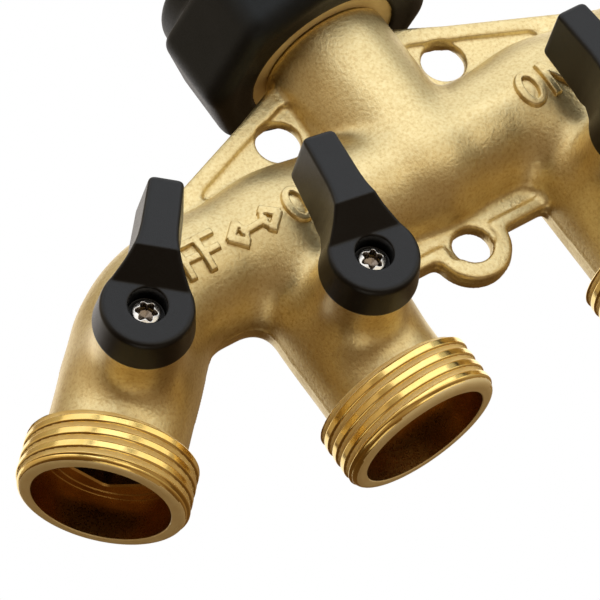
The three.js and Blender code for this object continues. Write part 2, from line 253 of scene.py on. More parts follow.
def polygon_distance(x, y, points):
    """Signed distance in the plane from a closed outline."""
    nearest = np.full(np.broadcast(x, y).shape, np.inf, np.float32)
    inside = np.zeros(nearest.shape, bool)
    for (ax, ay), (bx, by) in zip(points, points[1:] + points[:1]):
        ex, ey = bx - ax, by - ay
        t = np.clip(((x - ax) * ex + (y - ay) * ey) / (ex * ex + ey * ey), 0, 1)
        nearest = np.minimum(nearest, np.hypot(x - ax - t * ex, y - ay - t * ey))
        crosses = (ay > y) != (by > y)
        rise = by - ay if by != ay else 1e-9
        inside ^= crosses & (x < ax + (y - ay) * ex / rise)
    return np.where(inside, -nearest, nearest)


def bar(x, y, start, end, half):
    """Distance in the plane from a straight stroke with square ends."""
    length = math.hypot(end[0] - start[0], end[1] - start[1])
    ux, uy = (end[0] - start[0]) / length, (end[1] - start[1]) / length
    along = np.abs((x - start[0]) * ux + (y - start[1]) * uy - length / 2) - length / 2 - half * 0.6
    across = np.abs((y - start[1]) * ux - (x - start[0]) * uy) - half
    outside = np.hypot(np.maximum(along, 0), np.maximum(across, 0))
    return outside + np.minimum(np.maximum(along, across), 0)


# ---------------------------------------------------------------- meshes from rings

def grid_mesh(name, rings, place, sharp=35, finishes=None):
    """A closed tube-like mesh from rings of points, the last joined to the first. All rings are equally long.

    finishes holds the material number of each of the faces between a ring and the one after it.
    """
    count, sides = len(rings), len(rings[0])
    points = np.concatenate(rings) @ np.array(place)[:3, :3].T + np.array(place)[:3, 3]
    ring = np.arange(count)[:, None] * sides
    after = np.roll(ring, -1, axis=0)
    side = np.arange(sides)[None, :]
    beside = np.roll(side, -1, axis=1)
    faces = np.stack([ring + side, ring + beside, after + beside, after + side], axis=-1).reshape(-1, 4)
    mesh = bpy.data.meshes.new(name)
    mesh.from_pydata(points.tolist(), [], faces.tolist())
    mesh.polygons.foreach_set("use_smooth", [True] * len(mesh.polygons))
    if finishes is not None:
        mesh.polygons.foreach_set("material_index", np.concatenate(finishes).astype(np.int32))
    mesh.set_sharp_from_angle(angle=math.radians(sharp))
    return mesh


def ring_points(radius, height, sides):
    angle = np.arange(sides) * 2 * np.pi / sides
    radius = np.broadcast_to(radius, angle.shape)
    height = np.broadcast_to(height, angle.shape)
    return np.stack([radius * np.cos(angle), radius * np.sin(angle), height], axis=1)


def turned(name, profile, place, sides=72):
    """A ring turned about Z from a closed outline of (radius, height), given anticlockwise."""
    rings = [ring_points(r, z, sides) for r, z in profile]
    return grid_mesh(name, rings, place)


def rounded(profile, radius):
    """The outline with each corner replaced by a short arc."""
    steps = 3
    result = []
    count = len(profile)
    for i in range(count):
        here = Vector(profile[i])
        back = Vector(profile[i - 1]) - here
        on = Vector(profile[(i + 1) % count]) - here
        reach = min(radius, back.length * 0.45, on.length * 0.45)
        a = here + back.normalized() * reach
        b = here + on.normalized() * reach
        for step in range(steps + 1):
            t = step / steps
            result.append(tuple(a * (1 - t) ** 2 + here * 2 * t * (1 - t) + b * t**2))
    return result


# ---------------------------------------------------------------- placing pieces

def add(name, mesh, body, material, replaces=()):
    """Puts a piece in the scene, on its body, in place of the CAD nodes that it replaces."""
    piece = bpy.data.objects.new(name, mesh)
    bpy.context.scene.collection.objects.link(piece)
    piece.data.materials.append(material)
    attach(piece, body)
    if replaces:
        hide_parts(*replaces)
    return piece


def stem_of(number):
    """The point where a valve's stem meets its outlet's axis, and the stem's direction."""
    joint = next(j for j in frame["joints"] if j["name"] == f"lever_{number}_turn")
    return Vector((joint["pos_m"][0], 0, joint["pos_m"][2])), Vector(joint["axis"])


def heading_of(degrees):
    """A direction in the plane of the pipes."""
    angle = math.radians(degrees)
    return Vector((math.cos(angle), 0, math.sin(angle)))


def placed(centre, side, across, up):
    """Maps millimetres along three directions to metres."""
    turn = Matrix((side, across, up)).transposed().to_4x4()
    return Matrix.Translation(centre) @ turn @ Matrix.Scale(MM, 4)


def valve_place(number):
    """Maps a valve's own millimetres to metres: Z runs to the outlet's mouth, Y along the stem to the lever."""
    centre, stem = stem_of(number)
    flow = heading_of(OUTLETS[number]["heading"])
    return placed(centre, stem.cross(flow), stem, flow)


def lever_place(number):
    """Maps a lever's own millimetres to metres: X along the lever, Z along the stem."""
    centre, stem = stem_of(number)
    along = heading_of(OUTLETS[number]["lever"])
    return placed(centre, along, stem.cross(along), stem)


INLET_PLACE = Matrix.Scale(MM, 4)
# From (x, height, depth towards the levers) in millimetres to the part's frame in metres
CASTING_PLACE = Matrix.Translation((0, 0, PIPE_Z * MM)) @ Matrix(
    ((MM, 0, 0, 0), (0, 0, -MM, 0), (0, MM, 0, 0), (0, 0, 0, 1))
)


# ---------------------------------------------------------------- casting

def manifold_line(ax, h):
    """Distance in the middle plane from the axis of the main pipe, its elbow and the outer outlet."""
    radius = ELBOW_TANGENT / math.tan(math.radians(22.5))
    start = ELBOW_X - ELBOW_TANGENT
    straight = np.hypot(np.maximum(ax - start, 0), h)
    dx, dh = ax - start, h + radius
    arc = np.where((dx >= 0) & (dx <= dh), np.abs(np.hypot(dx, dh) - radius), np.inf)
    sx, sh = ax - start - radius * SLOPE, h + radius - radius * SLOPE
    sloped = np.hypot(np.minimum((sx - sh) * SLOPE, 0), (sx + sh) * SLOPE)
    return np.minimum(np.minimum(straight, arc), sloped)


def outlet_coordinates(ax, h):
    """For each outlet, outer first: the ways along and across it from its corner, and its mouth's distance."""
    outer = ((ax - ELBOW_X) - h) * SLOPE, ((ax - ELBOW_X) + h) * SLOPE
    inner = -h, ax - INNER_X
    return (outer, OUTER_REACH), (inner, INNER_REACH)


def web_fields(ax, h):
    """Outline, recess and hole of a web, in the middle plane."""
    outline = [(0, 0), (48, 0), (48, 10.2), (34.3, 15.5), (20.3, 20.9), (12.6, 24.3), (0, 24.3)]
    recess = [(12.9, 20.6), (22.8, 17.1), (32.6, 13.3), (33.6, 12.2), (31.6, 8), (8, 8), (8, 20.6)]
    hole = np.hypot(ax - WEB_HOLE["x"], h - WEB_HOLE["h"]) - WEB_HOLE["r"]
    return polygon_distance(ax, h, outline), polygon_distance(ax, h, recess), hole


def flange_fields(ax, h):
    """Outline, recess and hole of the lower flange and its lug, in the middle plane."""
    strip = np.maximum(FLANGE_LOW - h, ax - FLANGE_REACH)
    lug = np.hypot(ax, h - LUG["h"]) - LUG["r"]
    outline = smooth_min(strip, lug, 1.5)
    hole = np.hypot(ax, h - LUG_HOLE["h"]) - LUG_HOLE["r"]
    recess = smooth_max(outline + 1.8, -17.5 - h, 1.0)
    return outline, recess, hole


def slab(outline, w, half, edge):
    """A plate with rounded edges, from an outline in the middle plane."""
    thick = np.abs(w) - half + edge
    flat = outline + edge
    outside = np.hypot(np.maximum(flat, 0), np.maximum(thick, 0))
    return outside + np.minimum(np.maximum(flat, thick), 0) - edge


def ellipse(x, h, centre, wide, tall):
    return (np.hypot((x - centre) / wide, (h - LETTERS_MIDDLE) / tall) - 1) * wide


def letter_o(x, h, centre):
    """An upright ring, drawn between two ellipses."""
    wide, tall, thick = LETTER_O["wide"], LETTER_O["tall"], LETTER_O["thick"]
    outer = ellipse(x, h, centre, wide, tall)
    inner = ellipse(x, h, centre, wide - thick, tall - thick)
    return np.maximum(outer, -inner)


def letter_f(x, h, left):
    top = LETTERS_HIGH - STROKE
    upright = bar(x, h, (left, LETTERS_LOW + STROKE), (left, top), STROKE)
    arm = bar(x, h, (left, top), (left + F_ARM, top), STROKE)
    short_arm = bar(x, h, (left, LETTERS_MIDDLE), (left + F_SHORT_ARM, LETTERS_MIDDLE), STROKE)
    return np.minimum.reduce([upright, arm, short_arm])


def letter_n(x, h, left):
    low, high, right = LETTERS_LOW + STROKE, LETTERS_HIGH - STROKE, left + N_WIDTH
    strokes = [((left, low), (left, high)), ((left, high), (right, low)), ((right, low), (right, high))]
    return np.minimum.reduce([bar(x, h, a, b, STROKE) for a, b in strokes])


def double_arrow(x, h, centre):
    middle = LETTERS_MIDDLE + 0.1
    strokes = [bar(x, h, (centre - 2.1, middle), (centre + 2.1, middle), STROKE)]
    for side in (-1, 1):
        tip = centre + side * ARROW_REACH
        for up in (-1, 1):
            corner = (tip - side * ARROW_HEAD, middle + up * 1.9)
            strokes.append(bar(x, h, (tip, middle), corner, STROKE * 1.15))
            strokes.append(bar(x, h, corner, (centre + side * 1.6, middle + up * 0.4), STROKE * 0.75))
    return np.minimum.reduce(strokes)


def lettering(x, h):
    """The lever positions, OFF and ON with an arrow between them, on either side of the neck."""
    left = [letter_o(x, h, -50.4), letter_f(x, h, -46.5), letter_f(x, h, -42.8)]
    left += [double_arrow(x, h, -33.5), letter_o(x, h, -25.5), letter_n(x, h, -21.9)]
    right = [letter_o(x, h, 20.2), letter_n(x, h, 23.6), double_arrow(x, h, 32.6)]
    right += [letter_o(x, h, 40.4), letter_f(x, h, 44.0), letter_f(x, h, 47.7)]
    return np.minimum.reduce(left + right)


def casting_outside(x, h, w):
    """Pipes, bosses, neck, webs and lower flange, blended into one body without its bores."""
    ax = np.abs(x)
    (outer, outer_reach), (inner, inner_reach) = outlet_coordinates(ax, h)
    end = THREAD_LENGTH - 0.4
    pipe = np.hypot(manifold_line(ax, h), w) - PIPE_R
    main = np.maximum(pipe, outer[0] - outer_reach + end)
    branch = np.hypot(np.hypot(inner[1], np.maximum(h, 0)), w) - PIPE_R + 0.1
    branch = np.maximum(branch, inner[0] - inner_reach + end)
    body = smooth_min(main, branch, 4.5)
    for (along, across), reach in outlet_coordinates(ax, h):
        back = along - (reach - VALVE_BACK)
        boss = np.maximum(np.hypot(back, across) - BOSS_R, np.maximum(w - BOSS_TOP, -w))
        body = smooth_min(body, boss, 5.0)
    body = smooth_max(body, w - BOSS_TOP, 0.5)
    neck = np.hypot(np.hypot(ax, np.minimum(h, 0)), w) - NECK_R
    neck = smooth_max(neck, h - NECK_TOP, 0.6)
    body = smooth_min(body, neck, 2.0)
    outline, recess, hole = web_fields(ax, h)
    panel = slab(outline, w, WEB_HALF, 0.4)
    rim = smooth_max(slab(outline, w, RIM_HALF, 0.5), -(recess + 0.2), 0.6)
    web = smooth_max(smooth_min(panel, rim, 0.5), -hole, 0.4)
    body = smooth_min(body, web, 1.0)
    body = smooth_max(body, -np.maximum(hole, np.abs(w) - 4), 0.4)
    outline, recess, hole = flange_fields(ax, h)
    inside = np.maximum(outline, -h - 30)
    panel = slab(inside, w, FLANGE_HALF, 0.4)
    rim = smooth_max(slab(inside, w, RIM_HALF, 0.4), -(recess + 0.1), 0.4)
    flange = np.maximum(smooth_min(panel, rim, 0.6), h)
    flange = smooth_max(flange, -hole, 0.5)
    return smooth_min(body, flange, 1.6)


def raised_lettering(material):
    """The letters stand proud of the main pipe, with their feet sunk into it."""
    step = 0.15
    low, high = (-54, -5.2, 7.6), (53, 4.2, 12.6)
    x, h, w = axes_of(low, high, step)
    surface = casting_outside(x, h, w)
    marks = lettering(x, h) + 0.16 * np.clip(surface, 0, 1)
    body = smooth_max(marks, surface - LETTERS_RAISED, 0.22)
    body = np.maximum(body, -0.6 - surface)
    mesh = mesh_from_field("raised_lettering", body, low, step, CASTING_PLACE)
    add("raised_lettering", mesh, "manifold", material)


def casting_bores(x, h, w):
    """The water's ways, the valve chambers and the stem holes."""
    ax = np.abs(x)
    main = np.hypot(manifold_line(ax, h), w) - PIPE_BORE
    neck = np.hypot(np.hypot(ax, np.minimum(h, 0)), w) - PIPE_BORE
    holes = [main, neck]
    for (along, across), reach in outlet_coordinates(ax, h):
        back = along - (reach - VALVE_BACK)
        holes.append(np.maximum(np.hypot(across, w) - CHAMBER, -CHAMBER - back))
        holes.append(np.maximum(np.hypot(across, w) - INNER_BORE, -along))
        holes.append(np.maximum(np.hypot(back, across) - STEM_HOLE, -w))
        holes.append(np.maximum(np.hypot(back, across) - TANG_HOLE, np.maximum(w - TANG_HOLE_TOP, -w)))
    return np.minimum.reduce(holes)


def casting(material):
    step = 0.38
    low, high = (-78, -34, -14.5), (78, 36, 19.5)
    x, h, w = axes_of(low, high, step)
    body = casting_outside(x, h, w)
    tail = np.maximum(np.hypot(x, w) - TAIL_R, np.maximum(h - TAIL_TOP, -h))
    groove = np.maximum(SNAP_GROOVE["r"] - np.hypot(x, w), np.abs(h - SNAP_GROOVE["h"]) - SNAP_GROOVE["half"])
    tail = np.maximum(tail, -groove)
    seam = np.maximum(body - SEAM_RAISED, np.abs(w) - SEAM_HALF)
    body = smooth_min(body, seam, 0.25)
    body = np.minimum(body, tail)
    body = smooth_max(body, -casting_bores(x, h, w), 0.3)
    mesh = mesh_from_field("casting", body, low, step, CASTING_PLACE)
    add("casting", mesh, "manifold", material, ["body_casting"])


# ---------------------------------------------------------------- outlets

def thread_depth(turn):
    """How far the thread lies below its crest. turn runs from 0 to 1 over a pitch."""
    from_crest = np.abs(turn - 0.5) * PITCH
    groove = (from_crest - CREST_HALF) * FLANK_SLOPE
    return np.maximum(smooth_min(smooth_max(groove, 0, 0.35), THREAD_DEPTH, 0.3), 0)


def threaded_end(number, satin, polished, bore_shade):
    """The machined end of an outlet: a right-hand thread outside and a counterbore inside."""
    sides = 192
    angle = np.arange(sides) / sides
    base = VALVE_BACK - OUTLETS[number]["thread"]
    rim = VALVE_BACK - RIM_ROUND

    def depth_at(z):
        return thread_depth(np.mod((z - VALVE_BACK) / PITCH - angle + OUTLETS[number]["start"], 1.0))

    rings = [ring_points(CHAMBER - GAP, base, sides), ring_points(THREAD_FOOT, base, sides)]
    finishes = [np.zeros(sides)] * len(rings)
    for z in np.arange(base + 0.02, rim, PITCH / 44):
        depth = depth_at(z)
        from_base = min(1, (z - base) / 0.9)
        shoulder = THREAD_FOOT + (THREAD_R - THREAD_FOOT) * math.sqrt(1 - (1 - from_base) ** 2)
        bevel = RIM_R + 1.1 * (rim - z)
        radius = smooth_min(np.minimum(THREAD_R - depth, shoulder), bevel, 0.25)
        rings.append(ring_points(radius, z, sides))
        finishes.append((depth < 0.25) & (shoulder > THREAD_R - 0.3))
    for turned_by in range(0, 91, 10):
        a = math.radians(turned_by)
        z = rim + RIM_ROUND * math.sin(a)
        rings.append(ring_points(RIM_LAND + (RIM_R - RIM_LAND) * math.cos(a), z, sides))
        finishes.append((depth_at(z) < 0.2) & (turned_by < 50))
    floor = VALVE_BACK - MOUTH_DEPTH
    profile = [(MOUTH_R + 0.15, VALVE_BACK), (MOUTH_R, VALVE_BACK - 0.15), (MOUTH_R, floor + 0.1)]
    profile += [(MOUTH_R - 0.1, floor), (CHAMBER + 0.15, floor), (CHAMBER, floor - 0.15)]
    for radius, z in profile:
        rings.append(ring_points(radius, z, sides))
        # Material 2, on the mouth's inner wall and floor, is dark brown painted shade.
        finishes.append(np.full(sides, 0 if radius > MOUTH_R else 2))
    mesh = grid_mesh(f"threaded_end_{number}", rings, valve_place(number), finishes=finishes)
    # The outside takes the pale turned brass, whose paleness is partly painted light.
    piece = add(f"threaded_end_{number}", mesh, "manifold", satin)
    piece.data.materials.append(polished)
    # The third material, for the mouth's inside, is dark brown painted shade.
    piece.data.materials.append(bore_shade)


def retainer(number, material):
    """The ring that holds the seats, with a six-sided hole for its key."""
    sides = 96
    low, high = CHAMBER, VALVE_BACK - MOUTH_DEPTH - 0.05
    angle = np.arange(sides) * 2 * np.pi / sides
    fold = np.mod(angle + np.pi / 6, np.pi / 3) - np.pi / 6
    key = np.minimum(KEY_FLAT / np.cos(fold), KEY_CORNER)
    rings = [
        ring_points(key, low, sides),
        ring_points(RETAINER_R, low, sides),
        ring_points(RETAINER_R, high - 0.15, sides),
        ring_points(RETAINER_R - 0.15, high, sides),
        ring_points(key + 0.3, high, sides),
        ring_points(key, high - 0.3, sides),
    ]
    mesh = grid_mesh(f"retainer_{number}", rings, valve_place(number), sharp=25)
    add(f"retainer_{number}", mesh, "manifold", material, [f"seat_retainer_{number}"])


def seat(number, side, name, material):
    """A ring hollowed to the ball, on the ball's mouth side for side 1 and on its pipe side for side -1."""
    hollow, far = BALL_R + GAP, CHAMBER - GAP
    profile = [(SEAT_R, SEAT_NEAR), (SEAT_R, far), (SEAT_BORE, far)]
    wide, narrow = math.asin(SEAT_NEAR / hollow), math.acos(SEAT_BORE / hollow)
    steps = 8
    for step in range(steps + 1):
        angle = narrow + (wide - narrow) * step / steps
        profile.append((hollow * math.cos(angle), hollow * math.sin(angle)))
    if side < 0:
        profile = [(r, -z) for r, z in reversed(profile)]
    mesh = turned(f"{name}_ring_{number}", profile, valve_place(number))
    add(f"{name}_ring_{number}", mesh, "manifold", material, [f"{name}_{number}"])


def tang_slot(number):
    """The block that is cut from a ball for the stem's tang."""
    mesh = bpy.data.meshes.new("slot")
    corners = [(x, y, z) for x in (-9, 9) for y in (5.3, 9) for z in (-1.45, 1.45)]
    faces = [(0, 1, 3, 2), (4, 6, 7, 5), (0, 4, 5, 1), (2, 3, 7, 6), (0, 2, 6, 4), (1, 5, 7, 3)]
    mesh.from_pydata(corners, [], faces)
    mesh.transform(valve_place(number))
    cutter = bpy.data.objects.new("slot", mesh)
    bpy.context.scene.collection.objects.link(cutter)
    return cutter


def ball(number, material):
    """The ball with its bore along the outlet, and the slot that takes the stem's tang."""
    edge = math.asin(BALL_BORE / BALL_R)
    steps = 28
    profile = []
    for step in range(steps + 1):
        angle = edge + (math.pi - 2 * edge) * step / steps
        profile.append((BALL_R * math.sin(angle), -BALL_R * math.cos(angle)))
    profile.append((BALL_BORE, BALL_R * math.cos(edge) - 0.3))
    profile.append((BALL_BORE, -BALL_R * math.cos(edge) + 0.3))
    mesh = turned(f"ball_{number}", profile, valve_place(number), sides=64)
    piece = add(f"ball_{number}", mesh, f"valve_{number}", material, [f"valve_ball_{number}"])
    cutter = tang_slot(number)
    cut = piece.modifiers.new("slot", "BOOLEAN")
    cut.object = cutter
    cut.operation = "DIFFERENCE"
    bpy.context.view_layer.update()
    shown = piece.evaluated_get(bpy.context.evaluated_depsgraph_get())
    result = bpy.data.meshes.new_from_object(shown)
    piece.modifiers.clear()
    piece.data = result
    bpy.data.objects.remove(cutter)


# ---------------------------------------------------------------- levers

def lever_field(u, v, t):
    """A round hub with a drafted wall, and a grip that rises from it by a ramp and narrows to its end."""
    radius = np.hypot(u, v)
    hub = (radius - (HUB_R - 0.76 * (t - HUB_LOW) / 6)) * 0.99
    hub = smooth_max(hub, t - HUB_TOP, 0.9)
    hub = smooth_max(hub, HUB_LOW - t, 0.5)
    stops = [0, 2.0, 3.2, 4.6, 6.2, 8.0, 10.0, 12.0, LEVER_END + 2]
    widths = [6.6, 6.35, 5.85, 5.05, 4.2, 3.5, 3.05, 2.85, 2.5]
    half = np.interp(u, stops, widths).astype(np.float32)
    half = (half + np.interp(u - 0.5, stops, widths) + np.interp(u + 0.5, stops, widths)) / 3
    half = half + 0.11 * (27.5 - t) * np.clip(u / 3, 0, 1)
    ramp = HUB_TOP + (u - RAMP_START) * (LEVER_TOP - HUB_TOP) / RAMP_LENGTH
    top = LEVER_TOP - (u - 7.9) * 1.2 / 12.6
    over = np.maximum((t - ramp) * 0.8, t - top)
    under = LEVER_UNDER + 0.9 * np.clip((10.5 - u) / 2.5, 0, 1) ** 2 - t
    grip = (np.abs(v) - half) * 0.96
    grip = smooth_max(grip, over, 0.7)
    grip = smooth_max(grip, (u - LEVER_END - 0.06 * (t - 27)) * 0.99, 1.2)
    grip = smooth_max(grip, under, 0.5)
    grip = np.maximum(grip, -u)
    body = smooth_min(hub, grip, 0.12)
    body = smooth_max(body, -np.maximum(radius - POCKET_R, POCKET_FLOOR - t), 0.3)
    body = np.maximum(body, SCREW_HOLE - radius)
    socket = np.maximum(np.maximum(np.abs(u), np.abs(v)) - SOCKET_HALF, t - SOCKET_TOP)
    return np.maximum(body, -socket)


def lever(number, material):
    step = 0.18
    low, high = (-9, -9.2, 16.6), (LEVER_END + 1.6, 9.2, 29)
    u, v, t = axes_of(low, high, step)
    mesh = mesh_from_field(f"handle_{number}", lever_field(u, v, t), low, step, lever_place(number))
    add(f"handle_{number}", mesh, f"valve_{number}", material, [f"lever_{number}"])


def screw_field(u, v, t):
    """A pan head with a six-lobed recess on a round shank."""
    radius = np.hypot(u, v)
    angle = np.arctan2(v, u)
    dome = np.sqrt(radius**2 + (t - 15.6) ** 2) - 7.0
    head = smooth_max(smooth_max(radius - HEAD_R, dome, 0.2), POCKET_FLOOR + 0.05 - t, 0.1)
    lobes = radius - (1.46 - 0.26 * np.cos(6 * angle))
    recess = np.maximum(lobes + 0.08 * (22.6 - t), 20.6 + 0.3 * radius - t)
    shank = np.maximum(radius - SHANK_R, np.maximum(SHANK_LOW - t, t - SHANK_TOP))
    return smooth_max(np.minimum(head, shank), -recess, 0.16)


def screw(number, material):
    step = 0.06
    low, high = (-2.8, -2.8, 15.9), (2.8, 2.8, 24.5)
    u, v, t = axes_of(low, high, step)
    mesh = mesh_from_field(f"screw_{number}", screw_field(u, v, t), low, step, lever_place(number))
    add(f"screw_{number}", mesh, f"valve_{number}", material, [f"lever_screw_{number}"])


# ---------------------------------------------------------------- inlet

def swivel_nut(material):
    """The nut: threaded inside its mouth, with a thin wall at the back that the snap ring holds."""
    sides = 144
    angle = np.arange(sides) / sides
    back = -INLET_LENGTH + 1.3
    wall = back + 4
    outside = [(NUT_BORE, back), (NUT_R - 0.3, back), (NUT_R, back + 0.3), (NUT_R, -0.5), (NUT_R - 0.5, 0)]
    rings = [ring_points(r, z, sides) for r, z in outside]
    rings.append(ring_points(NUT_ROOT + 0.3, 0, sides))
    start, end = NUT_THREAD
    for z in np.arange(start, end, -PITCH / 16):
        turn = np.mod(z / PITCH - angle, 1.0)
        rise = np.clip((0.36 - np.abs(turn - 0.5)) / 0.2, 0, 1)
        ends = min(1, start - z, z - end)
        rings.append(ring_points(NUT_ROOT - NUT_THREAD_DEPTH * rise * max(ends, 0), z, sides))
    rings.append(ring_points(NUT_ROOT, wall, sides))
    rings.append(ring_points(NUT_BORE, wall, sides))
    mesh = grid_mesh("nut", rings, INLET_PLACE)
    add("nut", mesh, "inlet_swivel", material, ["swivel_nut"])


def grip_field(x, y, z):
    """An eight-sided sleeve with soft corners, a lip over the nut's back and a round collar at its mouth."""
    radius = np.hypot(x, y)
    flats = []
    for i in range(4):
        angle = math.radians(22.5 + 45 * i)
        flats.append(np.abs(x * math.cos(angle) + y * math.sin(angle)) - GRIP_FLAT)
    sides = reduce(lambda a, b: smooth_max(a, b, 1.6), flats)
    body = smooth_max(sides, GRIP_BACK - z, 3.6)
    body = smooth_max(body, z - GRIP_FRONT, 1.6)
    collar = smooth_max(radius - COLLAR_R, z - COLLAR_TOP, 1.6)
    collar = np.maximum(collar, -12 - z)
    whole = smooth_min(body, collar, 0.8)
    whole = smooth_max(whole, GRIP_BORE - radius, 0.4)
    lip = smooth_max(sides, np.maximum(GRIP_BACK - z, z - GRIP_BACK - 0.7), 0.4)
    lip = smooth_max(smooth_max(lip, GRIP_LIP_R - radius, 0.5), body, 0.3)
    return smooth_min(whole, lip, 0.2)


def nut_grip(material):
    step = 0.45
    low, high = (-23.5, -23.5, -INLET_LENGTH - 1.2), (23.5, 23.5, 0.8)
    x, y, z = axes_of(low, high, step)
    mesh = mesh_from_field("grip", grip_field(x, y, z), low, step, INLET_PLACE)
    add("grip", mesh, "inlet_swivel", material, ["nut_grip"])


def washer(material):
    low = -12.7
    profile = rounded([(8.0, low), (12.4, low), (12.4, low + 2.5), (8.0, low + 2.5)], 0.5)
    mesh = turned("washer", profile, INLET_PLACE)
    add("washer", mesh, "inlet_swivel", material, ["inlet_washer"])


# ---------------------------------------------------------------- materials

def fill_ramp(node, stops):
    elements = node.color_ramp.elements
    while len(elements) < len(stops):
        elements.new(0.5)
    for element, (position, colour) in zip(elements, stops):
        element.position = position
        element.color = (*colour, 1)


class Look:
    """A node material with a Principled shader."""

    def __init__(self, name, **values):
        self.material = bpy.data.materials.new(name)
        self.material.use_nodes = True
        self.tree = self.material.node_tree
        self.shader = self.tree.nodes["Principled BSDF"]
        for key, value in values.items():
            self.shader.inputs[key.replace("_", " ")].default_value = value
        place = self.tree.nodes.new("ShaderNodeTexCoord")
        self.place = place.outputs["Object"]

    def noise(self, scale, detail=3, roughness=0.55):
        node = self.tree.nodes.new("ShaderNodeTexNoise")
        node.inputs["Scale"].default_value = scale
        node.inputs["Detail"].default_value = detail
        node.inputs["Roughness"].default_value = roughness
        self.tree.links.new(self.place, node.inputs["Vector"])
        return node.outputs["Fac"]

    def ramp(self, source, stops):
        node = self.tree.nodes.new("ShaderNodeValToRGB")
        fill_ramp(node, stops)
        self.tree.links.new(source, node.inputs["Fac"])
        return node.outputs["Color"]

    def span(self, source, low, high, start=0.0, end=1.0):
        node = self.tree.nodes.new("ShaderNodeMapRange")
        node.inputs["From Min"].default_value = start
        node.inputs["From Max"].default_value = end
        node.inputs["To Min"].default_value = low
        node.inputs["To Max"].default_value = high
        self.tree.links.new(source, node.inputs["Value"])
        return node.outputs["Result"]

    def bump(self, source, distance, under=None):
        node = self.tree.nodes.new("ShaderNodeBump")
        node.inputs["Distance"].default_value = distance
        node.inputs["Strength"].default_value = 1.0
        self.tree.links.new(source, node.inputs["Height"])
        if under is not None:
            self.tree.links.new(under, node.inputs["Normal"])
        return node.outputs["Normal"]

    def set(self, name, source):
        self.tree.links.new(source, self.shader.inputs[name])


def cast_brass():
    """Bead-blasted cast brass: satin, slightly mottled, with a fine bright grain."""
    look = Look("cast_brass", Metallic=1.0)
    grain = look.noise(1900, 2, 0.6)
    specks = [(0.3, (0.70, 0.55, 0.28)), (0.46, (0.80, 0.66, 0.35)), (0.7, (0.87, 0.75, 0.44))]
    look.set("Base Color", look.ramp(grain, specks))
    mottle = look.noise(180, 4)
    look.set("Roughness", look.span(mottle, 0.36, 0.46, 0.3, 0.7))
    skin = look.bump(look.noise(420, 3), 0.000014)
    look.set("Normal", look.bump(grain, 0.00006, skin))
    return look.material


def turned_brass():
    """Machined brass, pale and satin. Its pale base is partly the turned finish and partly painted light,
    standing in for light from below on the rims and flanks.
    """
    look = Look("turned_brass", Metallic=0.2)
    mottle = look.noise(300, 3)
    # The pale base colour is partly painted light: it brightens the rims and flanks as light from below would.
    look.set("Base Color", look.ramp(mottle, [(0.3, (0.93, 0.76, 0.40)), (0.7, (1.0, 0.86, 0.50))]))
    grain = look.noise(4200, 2)
    look.set("Roughness", look.span(grain, 0.3, 0.44, 0.3, 0.7))
    look.set("Normal", look.bump(grain, 0.00001, look.bump(look.noise(700, 2), 0.000006)))
    return look.material


def bright_brass():
    """The thread crests, rubbed bright, with fine marks along the turning."""
    look = Look("bright_brass", Metallic=1.0)
    mottle = look.noise(500, 3)
    look.set("Base Color", look.ramp(mottle, [(0.3, (0.95, 0.68, 0.22)), (0.7, (1.0, 0.78, 0.31))]))
    lines = look.noise(2600, 2)
    look.set("Roughness", look.span(lines, 0.13, 0.22, 0.3, 0.7))
    look.set("Normal", look.bump(lines, 0.000006))
    return look.material


def bore_brass_painted_shade():
    """The counterbores, coloured dark brown as painted shade deep in the mouth, with faint marks around."""
    look = Look("bore_brass_painted_shade", Metallic=1.0)
    # Dark brown painted shade, used for the bores and for the retainer inside them.
    colours = [(0.3, (0.42, 0.23, 0.06)), (0.7, (0.62, 0.38, 0.12))]
    look.set("Base Color", look.ramp(look.noise(240, 3), colours))
    marks = look.noise(3200, 2)
    look.set("Roughness", look.span(marks, 0.24, 0.36, 0.3, 0.7))
    look.set("Normal", look.bump(marks, 0.00001))
    return look.material


def black_plastic():
    """Moulded black plastic with a fine spark-eroded grain."""
    look = Look("black_plastic", Specular_IOR_Level=0.44, Specular_Tint=(0.88, 0.92, 1.0, 1.0))
    colours = [(0.3, (0.0016, 0.0016, 0.002)), (0.7, (0.003, 0.003, 0.0035))]
    look.set("Base Color", look.ramp(look.noise(260, 3), colours))
    grain = look.noise(5200, 2, 0.6)
    look.set("Roughness", look.span(grain, 0.3, 0.42, 0.3, 0.7))
    look.set("Normal", look.bump(grain, 0.00002, look.bump(look.noise(300, 2), 0.00003)))
    return look.material


def grip_rubber():
    """The grip's satin rubber, a little paler than the levers."""
    look = Look("grip_rubber", Specular_IOR_Level=0.4, Specular_Tint=(0.75, 0.87, 1.0, 1.0))
    colours = [(0.3, (0.006, 0.007, 0.009)), (0.7, (0.010, 0.011, 0.014))]
    look.set("Base Color", look.ramp(look.noise(220, 3), colours))
    grain = look.noise(3800, 2, 0.6)
    look.set("Roughness", look.span(grain, 0.4, 0.55, 0.3, 0.7))
    look.set("Normal", look.bump(grain, 0.00002))
    return look.material


def ball_steel_and_shade():
    """The ball's plating, coloured a dull dark brown: partly the brass it shows, partly painted shade inside
    the valve.
    """
    look = Look("ball_steel_and_shade", Metallic=1.0)
    # Dull brown, darkened further as painted shade.
    colours = [(0.3, (0.24, 0.17, 0.09)), (0.7, (0.34, 0.25, 0.14))]
    look.set("Base Color", look.ramp(look.noise(900, 2), colours))
    look.set("Roughness", look.span(look.noise(3000, 2), 0.16, 0.26, 0.3, 0.7))
    look.set("Normal", look.bump(look.noise(1800, 2), 0.00001))
    return look.material


